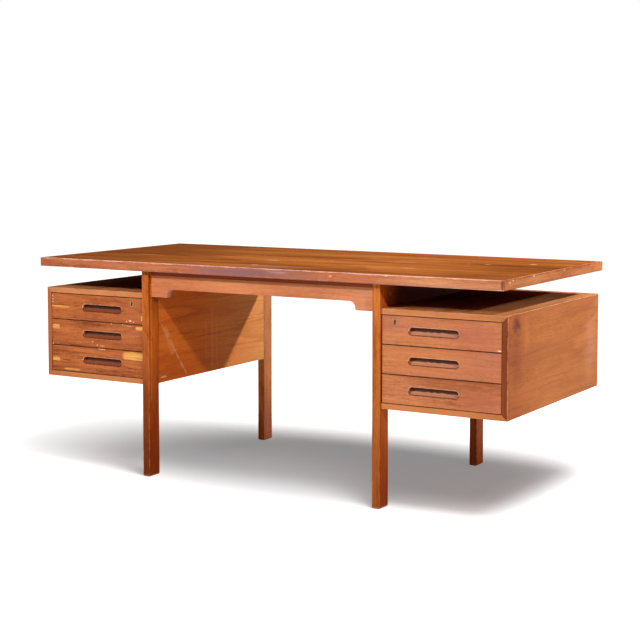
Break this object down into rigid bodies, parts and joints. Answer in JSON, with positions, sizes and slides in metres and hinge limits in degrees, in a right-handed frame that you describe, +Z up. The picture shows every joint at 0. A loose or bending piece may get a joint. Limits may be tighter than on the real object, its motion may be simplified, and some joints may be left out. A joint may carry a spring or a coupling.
{
  "type": "executive desk",
  "caption": "Executive desk with a floating rectangular top on four legs, coved aprons and two hung pedestals of dovetailed drawers with milled finger pulls.",
  "frame": {"origin": "On the floor, under the middle of the top.", "axes": "+X to the sitter's right along the length of the top, +Y away from the sitter, +Z up. The sitter and the drawer fronts are at -Y."},
  "size_m": [1.74, 0.82, 0.725],
  "materials": {
    "top_veneer": "oiled teak veneer, worn",
    "top_lipping": "oiled solid teak",
    "leg_wood": "oiled solid teak, red-brown",
    "apron_wood": "oiled solid teak",
    "panel_veneer": "oiled teak veneer",
    "cleat_wood": "planed, unfinished",
    "case_veneer": "oiled teak veneer",
    "drawer_front_veneer": "oiled solid teak",
    "drawer_wood": "planed, lightly waxed",
    "drawer_plywood": "sanded plywood",
    "runner_wood": "planed hardwood",
    "lock_steel": "dull plated steel",
    "screw_steel": "dull steel",
    "brass": "aged brass with a greenish patina"
  },
  "bodies": {
    "frame": {"top_panel": "top_veneer", "top_lipping_front": "top_lipping", "top_lipping_back": "top_lipping", "top_lipping_left": "top_lipping", "top_lipping_right": "top_lipping", "leg_front_left": "leg_wood", "leg_front_right": "leg_wood", "leg_back_left": "leg_wood", "leg_back_right": "leg_wood", "front_apron": "apron_wood", "rear_apron": "apron_wood", "top_screws": "screw_steel", "cleat_screws": "screw_steel", "left_inner_panel": "panel_veneer", "left_cleat": "cleat_wood", "left_case_top": "case_veneer", "left_case_bottom": "case_veneer", "left_case_side": "case_veneer", "left_case_back": "case_veneer", "left_runners": "runner_wood", "right_inner_panel": "panel_veneer", "right_cleat": "cleat_wood", "right_case_top": "case_veneer", "right_case_bottom": "case_veneer", "right_case_side": "case_veneer", "right_case_back": "case_veneer", "right_runners": "runner_wood"},
    "left_drawer_1": {"left_drawer_1_front": "drawer_front_veneer", "left_drawer_1_sides": "drawer_wood", "left_drawer_1_back": "drawer_wood", "left_drawer_1_bottom": "drawer_plywood", "left_lock": "lock_steel", "left_lock_screws": "screw_steel", "left_escutcheon": "brass"},
    "left_drawer_2": {"left_drawer_2_front": "drawer_front_veneer", "left_drawer_2_sides": "drawer_wood", "left_drawer_2_back": "drawer_wood", "left_drawer_2_bottom": "drawer_plywood"},
    "left_drawer_3": {"left_drawer_3_front": "drawer_front_veneer", "left_drawer_3_sides": "drawer_wood", "left_drawer_3_back": "drawer_wood", "left_drawer_3_bottom": "drawer_plywood"},
    "left_bolt": {"left_lock_bolt": "brass"},
    "right_drawer_1": {"right_drawer_1_front": "drawer_front_veneer", "right_drawer_1_sides": "drawer_wood", "right_drawer_1_back": "drawer_wood", "right_drawer_1_bottom": "drawer_plywood", "right_lock": "lock_steel", "right_lock_screws": "screw_steel", "right_escutcheon": "brass"},
    "right_drawer_2": {"right_drawer_2_front": "drawer_front_veneer", "right_drawer_2_sides": "drawer_wood", "right_drawer_2_back": "drawer_wood", "right_drawer_2_bottom": "drawer_plywood"},
    "right_drawer_3": {"right_drawer_3_front": "drawer_front_veneer", "right_drawer_3_sides": "drawer_wood", "right_drawer_3_back": "drawer_wood", "right_drawer_3_bottom": "drawer_plywood"},
    "right_bolt": {"right_lock_bolt": "brass"}
  },
  "joints": [
    {"name": "left_drawer_1_slide", "type": "slide", "parent": "frame", "child": "left_drawer_1", "axis": [0, -1, 0], "range_m": [0, 0.42]},
    {"name": "left_drawer_2_slide", "type": "slide", "parent": "frame", "child": "left_drawer_2", "axis": [0, -1, 0], "range_m": [0, 0.42]},
    {"name": "left_drawer_3_slide", "type": "slide", "parent": "frame", "child": "left_drawer_3", "axis": [0, -1, 0], "range_m": [0, 0.42]},
    {"name": "left_bolt_slide", "type": "slide", "parent": "left_drawer_1", "child": "left_bolt", "axis": [0, 0, 1], "range_m": [0, 0.008]},
    {"name": "right_drawer_1_slide", "type": "slide", "parent": "frame", "child": "right_drawer_1", "axis": [0, -1, 0], "range_m": [0, 0.42]},
    {"name": "right_drawer_2_slide", "type": "slide", "parent": "frame", "child": "right_drawer_2", "axis": [0, -1, 0], "range_m": [0, 0.42]},
    {"name": "right_drawer_3_slide", "type": "slide", "parent": "frame", "child": "right_drawer_3", "axis": [0, -1, 0], "range_m": [0, 0.42]},
    {"name": "right_bolt_slide", "type": "slide", "parent": "right_drawer_1", "child": "right_bolt", "axis": [0, 0, 1], "range_m": [0, 0.008]}
  ]
}
